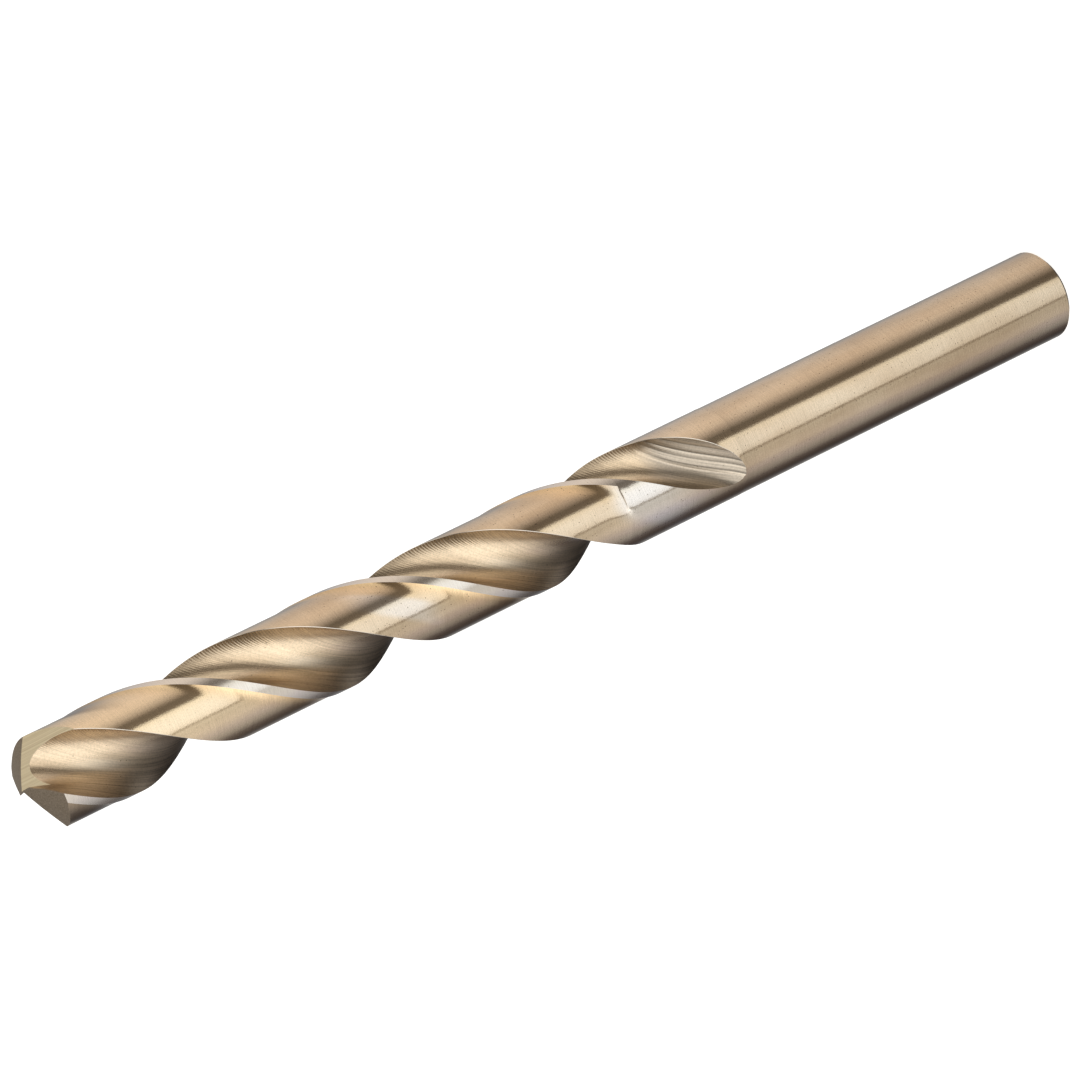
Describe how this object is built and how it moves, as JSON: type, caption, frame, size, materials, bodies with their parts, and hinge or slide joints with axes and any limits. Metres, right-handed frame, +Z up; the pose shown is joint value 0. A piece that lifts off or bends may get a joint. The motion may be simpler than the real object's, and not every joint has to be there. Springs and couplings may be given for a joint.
{
  "type": "twist drill bit",
  "caption": "Right-hand jobber-length twist drill with a plain cylindrical shank, helical flutes that run out into it, narrow margins and a split point.",
  "frame": {"origin": "centre of the shank's end face", "axes": "+Z up the drill's axis from the shank end to the tip, +X along a cutting lip at the tip"},
  "size_m": [0.01, 0.01, 0.133],
  "materials": {
    "tool_steel": "satin, straw-tinted by heat, with bright ground margins"
  },
  "bodies": {
    "root": {"twist_drill": "tool_steel"}
  },
  "joints": []
}
